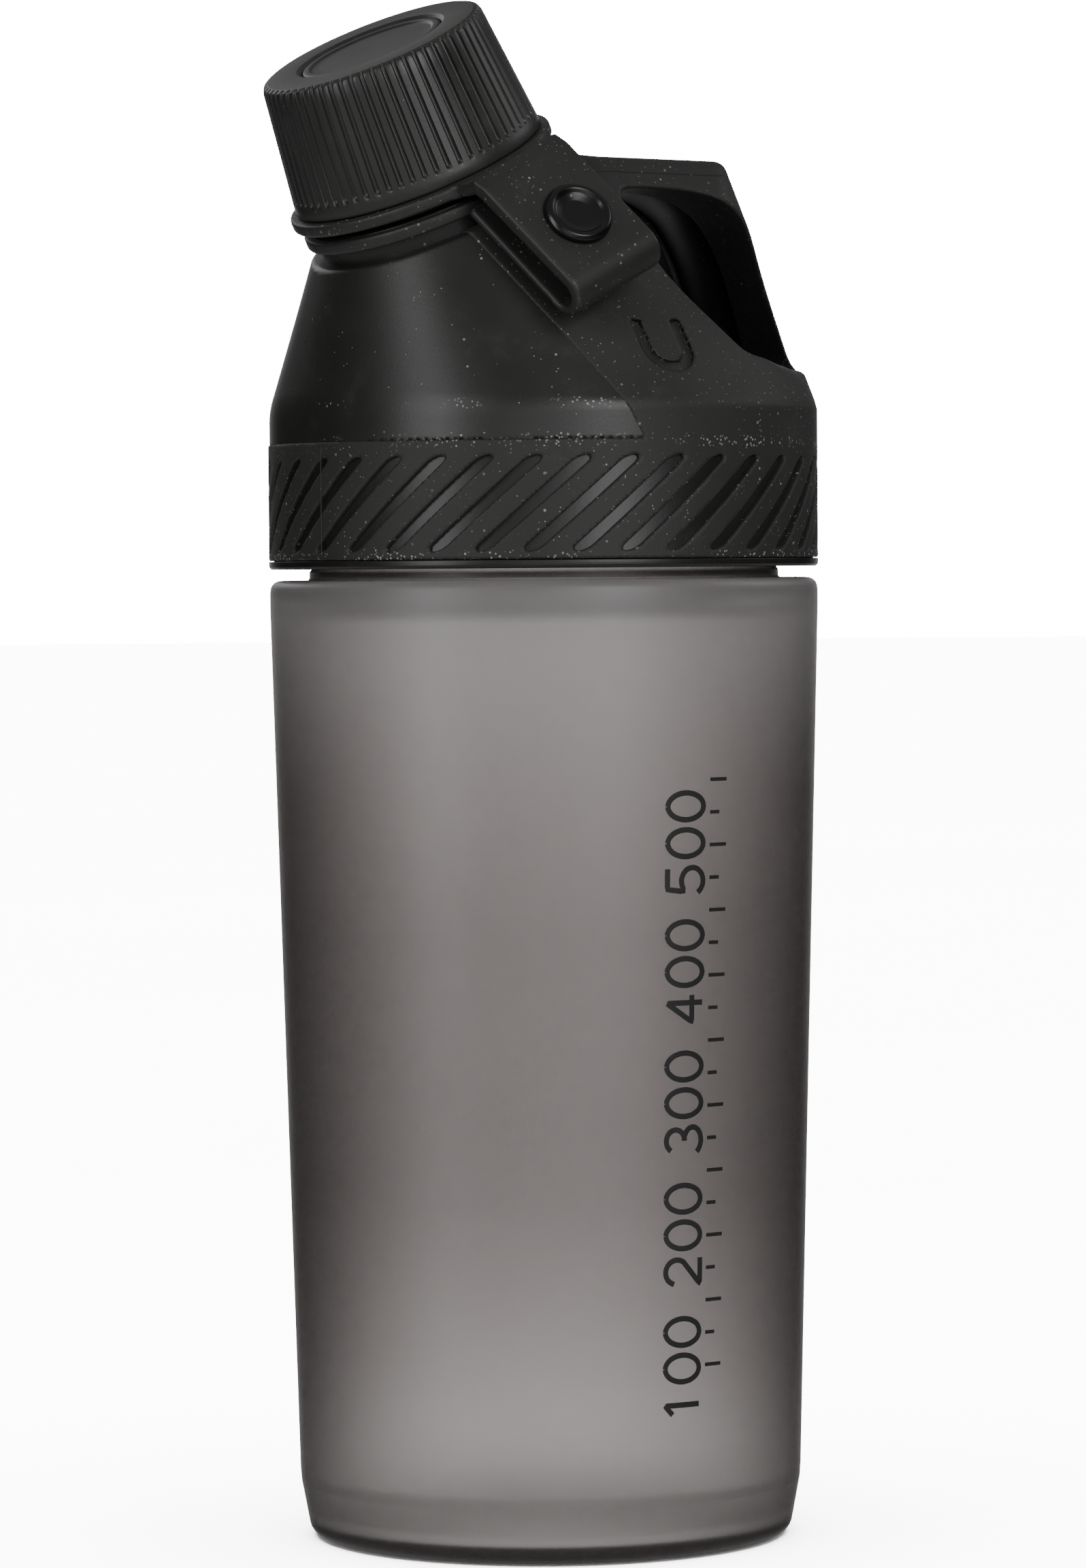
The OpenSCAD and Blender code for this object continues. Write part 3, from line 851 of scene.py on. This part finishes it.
def stroke(points, half):
    """the left and right edges of a pen line"""
    p = np.array(points, float)
    seg = np.linalg.norm(np.diff(p, axis=0), axis=1)
    at = np.concatenate([[0], np.cumsum(seg)])
    n = max(3, int(at[-1] / 0.45))
    t = np.linspace(0, at[-1], n + 1)
    q = np.column_stack([np.interp(t, at, p[:, i]) for i in (0, 1)])
    d = np.gradient(q, axis=0)
    d /= np.maximum(np.linalg.norm(d, axis=1), 1e-9)[:, None]
    side = np.column_stack([-d[:, 1], d[:, 0]])
    return q + side * half, q - side * half


def ink_strip(verts, faces, points, half):
    """a pen line on the cup's wall, as a thin closed strip"""
    left, right = stroke(points, half)
    n = len(left)
    rows = [(left, -0.04), (left, 0.05), ((left + right) / 2, 0.06), (right, 0.05), (right, -0.04)]
    base = len(verts)
    for flat, lift in rows:
        verts.extend(cup_surface(flat[:, 0], flat[:, 1], lift).tolist())
    m = len(rows)
    for k in range(m):
        l = (k + 1) % m
        for i in range(n - 1):
            faces.append([base + k * n + i, base + k * n + i + 1, base + l * n + i + 1, base + l * n + i])
    faces.append([base + k * n for k in range(m)])
    faces.append([base + k * n + n - 1 for k in range(m)][::-1])


def arc(cx, cy, rx, ry, a0, a1, n=14):
    t = np.radians(np.linspace(a0, a1, n))
    return [(cx + rx * math.cos(v), cy + ry * math.sin(v)) for v in t]


DIGITS = {
    "0": [arc(0.5, 0.5, 0.5, 0.5, 90, 450, 26)],
    "1": [[(0.15, 0.78), (0.5, 1.0), (0.5, 0.0)]],
    "2": [arc(0.5, 0.68, 0.46, 0.32, 165, -35, 16) + [(0.02, 0.0), (1.0, 0.0)]],
    "3": [arc(0.47, 0.74, 0.42, 0.26, 150, -90, 14), arc(0.47, 0.25, 0.5, 0.25, 90, -150, 14)],
    "4": [[(0.72, 0.0), (0.72, 1.0), (0.0, 0.3), (1.0, 0.3)]],
    "5": [[(0.92, 1.0), (0.16, 1.0), (0.08, 0.56)] + arc(0.46, 0.31, 0.5, 0.31, 125, -150, 16)],
}


def scale_marks():
    """a generic volume scale printed up the wall, its numerals reading upward"""
    verts, faces = [], []
    height, width, gap, bold, text_at = 6.2, 4.1, 1.5, 0.42, -2.4
    tick_at, tick_bold, tick_long, tick_short = -1.2, 0.28, 3.1, 1.736
    for text, z in (("100", 29.6), ("200", 50.0), ("300", 70.2), ("400", 90.2), ("500", 109.8)):
        start = z - (3 * width + 2 * gap) / 2
        for i, digit in enumerate(text):
            for line in DIGITS[digit]:
                pts = [(text_at - height * y, start + i * (width + gap) + width * x) for x, y in line]
                ink_strip(verts, faces, pts, bold)
    for k, z in enumerate(np.linspace(29.9, 119.4, 19)):
        length = tick_short if k % 2 else tick_long
        ink_strip(verts, faces, [(tick_at, z), (tick_at + length, z)], tick_bold)
    make("volume_scale", verts, faces, "cup", INK, (), sharp=40)


def collar():
    """hard collar behind the band: slot floors, lower rim, bore and its thread"""
    line = fillet([(42.72, 151.7), (COLLAR_R, 152.1), (COLLAR_R, 152.95), (42.3, 152.98),
                   (42.3, 171.0), (41.0, 171.15), (33.0, 174.4), (33.0, 172.4), (BORE_R, 172.4),
                   (BORE_R, 152.4), (39.0, 151.7)],
                  [0.4, 0.3, 0.1, 0.1, 0.1, 0.3, 0.2, 0.2, 0.1, 0.3, 0.3], 4)
    line = divided(line, BORE_R)

    def thread(r, z, a):
        on = (np.abs(r - BORE_R) < 0.02) & (z < 171)
        return -helix(r, z, a, on, 1.5, 158.6, LID_LEAD, LID_TURNS, 2.8, 1.3)

    p, f = revolve(line, 192, thread)
    make("lid_collar", p, f, "lid", SLOT_FLOOR, ["lid_shell"], sharp=40)


def spout():
    """neck of the spout with its thread"""
    line = fillet([(14.6, -11.5), (18.7, -9.5), (18.7, -3.3), (16.9, -3.3), (16.3, 7.6), (15.9, 8.0),
                   (15.0, 8.0), (14.6, 7.6)], [0.4, 0.2, 0.4, 0.4, 0.3, 0.4, 0.4, 0.4], 4)
    line = dense(line, 0.3)

    def thread(r, z, a):
        on = (r > 16.0) & (z > -1) & (z < 7.4)
        return helix(r, z, a, on, 0.85, 2.0, SPOUT_LEAD, SPOUT_TURNS, 1.6, 0.7)

    p, f = revolve(line, 128, thread)
    make("spout_neck", p, f, "lid", HARD, (), local=True, sharp=40)


def cap():
    """ribbed cap with its inner thread, and the disc let into its top"""
    pitch = 2 * math.pi / RIBS
    part = np.array([-0.5, -0.3, -0.235, -0.2, -0.15, -0.08, 0, 0.08, 0.15, 0.2, 0.235, 0.3]) * pitch
    angles = (np.arange(RIBS)[:, None] * pitch + part[None, :]).ravel()
    side = [(20.2 - 2.18 * t, 0.3 + 19.2 * t) for t in np.linspace(0, 1, 10)]
    rows = [(20.2 - 2.18 * (z - 0.3) / 19.2, z) for z in (1.6, 2.0, 2.2, 2.4, 2.7, 3.0, 3.6)]
    outer = sorted(side + rows, key=lambda v: v[1])
    top = fillet([(18.02, 19.5), (17.7, 20.3), (16.95, 20.6), (12.1, 20.6), (11.5, 20.05), (11.5, 18.8)],
                 [0, 0.5, 0.5, 0.3, 0.3, 0], 4)
    line = [(CAP_BORE_R, -2.5), (18.9, -2.5), (19.1, -2.2), (19.1, -0.05), (19.85, -0.05), (20.1, 0.05)]
    line += outer + [tuple(v) for v in top[1:]]
    line += [(9.6, 18.8), (9.6, 11.4), (0, 11.4), (0, 9.4), (17.3, 9.4)]
    line += [(CAP_BORE_R, 9.2 - 0.3 * k) for k in range(39)]

    def shape(r, z, a):
        q = (a / pitch - np.round(a / pitch)) * pitch * r
        groove = np.clip(1 - (np.abs(q) / 0.42) ** 4, 0, 1) * smoothstep(z, 2.1, 2.75)
        outside = (r > 17.55) & (z > 1)
        edge = smoothstep(r, 16.9, 17.7) * (z > 1) * (r <= 17.55)
        inside = (np.abs(r - CAP_BORE_R) < 0.01) & (z < 8.5) & (z > 0.5)
        turn = np.mod(a, 2 * math.pi)
        ridge = helix(r, z, turn, inside, 0.75, 4.0, SPOUT_LEAD, SPOUT_TURNS, 1.6, 0.7)
        return -0.52 * groove * (outside + edge) - ridge

    p, f = revolve(line, angles=angles, offset=shape)
    make("cap_shell", p, f, "cap", CAP, ["spout_cap"], local=True, sharp=38)
    ring = fillet([(0, 18.81), (11.38, 18.81), (11.38, 20.0), (11.1, 20.3), (10.2, 20.3),
                   (9.85, 20.0), (0, 19.9)], [0, 0.1, 0.2, 0.3, 0.3, 0.4, 0], 4)
    p, f = revolve(dense(ring, 1.6), 128)
    make("cap_inlay", p, f, "cap", CAP, ["cap_disc"], local=True, sharp=40)


def tether():
    """ring on the neck, the strap's two layers, and the button on the plate"""
    ring = fillet([(18.85, -5.6), (20.4, -5.6), (20.4, -3.5), (18.85, -3.5)], 0.6)
    p, f = revolve(ring, 128)
    make("neck_ring", p, f, "lid", RUBBER, ["tether_ring"], local=True, sharp=60)
    p, f, n = nets(tether_flap_field, (-22.4, -41.5, -24), (22.4, 22.4, 1.6), 0.34)
    make("tether_plate", p, f, "flap", RUBBER, ["tether_flap"], n, True)
    p, f, n = nets(strap_field, (-9.8, -40.5, -24), (9.8, -19, -3), 0.34)
    make("tether_underlayer", p, f, "strap", RUBBER, ["tether_strap"], n, True)
    line = fillet([(0, 0.45), (2.4, 0.55), (3.6, 0.95), (4.2, 1.5), (4.75, 1.5), (5.3, 0.95),
                   (5.35, -0.15), (4.5, -0.2), (4.5, -0.5), (0, -0.5)],
                  [0, 1, 0.8, 0.5, 0.5, 0.5, 0.1, 0.1, 0.1, 0], 5)
    p, f = revolve(line, 96)
    turn = math.atan2(*NORMAL)
    c, s = math.cos(turn), math.sin(turn)
    rot = np.array([[1, 0, 0], [0, c, -s], [0, s, c]])
    p = p @ rot.T + BUTTON
    make("flap_button", p, f, "flap", GLOSS, ["magnet_button"], local=True, sharp=50)


def handle_strip():
    """hard core showing at the bottom of the loop's channel"""
    p = OPENING
    e = np.roll(p, -1, 0) - np.roll(p, 1, 0)
    out = np.stack([e[:, 1], -e[:, 0]], 1) / np.linalg.norm(e, axis=1)[:, None]
    keep = np.where((legs_gap(p[:, 0], p[:, 1]) > 0.6) & (p[:, 1] > 187))[0]
    a, b = p[keep] + out[keep] * 0.75, p[keep] + out[keep] * 2.4
    n = len(keep)
    verts, faces = [], []
    rim = a + out[keep] * 0.25
    rows = [(a, -5.6), (a, 5.6), (rim, 5.95), (b, 5.95), (b, -5.95), (rim, -5.95)]
    for flat, y in rows:
        verts += [(v[0], y, v[1]) for v in flat]
    m = len(rows)
    for k in range(m):
        l = (k + 1) % m
        faces += [[k * n + i, l * n + i, l * n + i + 1, k * n + i + 1] for i in range(n - 1)]
    faces += [[k * n for k in range(m)], [k * n + n - 1 for k in range(m)][::-1]]
    make("handle_channel", verts, faces, "lid", HARD, ["handle_core"], sharp=50)


def bead(name, path, out, radius, body, material, n=8):
    """a half-round raised line along a path, out being its direction away from the surface"""
    path, out = np.asarray(path, float), np.asarray(out, float)
    along = np.gradient(path, axis=0)
    along /= np.linalg.norm(along, axis=1)[:, None]
    out = out - (out * along).sum(1)[:, None] * along
    out /= np.linalg.norm(out, axis=1)[:, None]
    side = np.cross(along, out)
    t = np.linspace(0, 2 * math.pi, n, endpoint=False)
    place = np.arange(len(path))
    taper = np.minimum(1, np.minimum(place, place[::-1]) / 3 + 0.15)[:, None, None]
    across, rise = np.cos(t)[None, :, None], 0.7 * np.sin(t)[None, :, None]
    ring = radius * (across * side[:, None] + rise * out[:, None])
    p = (path[:, None] + ring * taper).reshape(-1, 3)
    m = len(path)
    faces = [[i * n + j, i * n + (j + 1) % n, (i + 1) * n + (j + 1) % n, (i + 1) * n + j]
             for i in range(m - 1) for j in range(n)]
    faces += [list(range(n))[::-1], [(m - 1) * n + j for j in range(n)]]
    make(name, p, faces, body, material, (), sharp=70)


def moulding_lines():
    """parting line up the band, and the fine raised line below the loop's long edges"""
    for name, sign in (("parting_front", -1), ("parting_back", 1)):
        z = np.linspace(153.3, 171.0, 40)
        path = np.column_stack([np.full(40, sign * (COLLAR_R + 0.01)), np.zeros(40), z])
        bead(name, path, np.tile([sign, 0, 0], (40, 1)), 0.11, "lid", SOFT)
    for name, sign in (("loop_line_near", -1), ("loop_line_far", 1)):
        straight = [(x, 213.15) for x in np.linspace(0.5, 25.5, 40)]
        plan = np.array([(-3.0, 211.2), (-2.2, 212.3), (-1.0, 213.0)] + straight)
        lo, hi = np.full(len(plan), 2.0), np.full(len(plan), 40.0)
        for _ in range(30):
            mid = (lo + hi) / 2
            inside = envelope(np.column_stack([plan[:, 0], sign * mid, plan[:, 1]])) < 0
            lo, hi = np.where(inside, mid, lo), np.where(inside, hi, mid)
        path = np.column_stack([plan[:, 0], sign * lo, plan[:, 1]])
        bead(name, path, slope(envelope, path, 0.3), 0.17, "lid", SOFT)


def lid():
    p, f, n = nets(grip_field, (-44, -44, 152.4), (44, 44, 217), 0.46)
    make("lid_overmould", p, f, "lid", SOFT, ["lid_grip"], n)
    p, f, n = nets(dome_field, (-44, -44, 170.2), (44, 44, 212), 0.6)
    make("lid_dome", p, f, "lid", HARD, (), n)
    collar()
    spout()
    handle_strip()
    moulding_lines()


camera()
sky()
lamps()
stage_floor()
cup()
scale_marks()
lid()
cap()
tether()

KEPT = {"lid_gasket": SEAL, "mixing_grid": HARD, "keeper_plate": STEEL, "button_magnet": STEEL,
        "cap_liner": SEAL}
for node, material in KEPT.items():
    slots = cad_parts[node].data.materials
    slots.clear()
    slots.append(material)
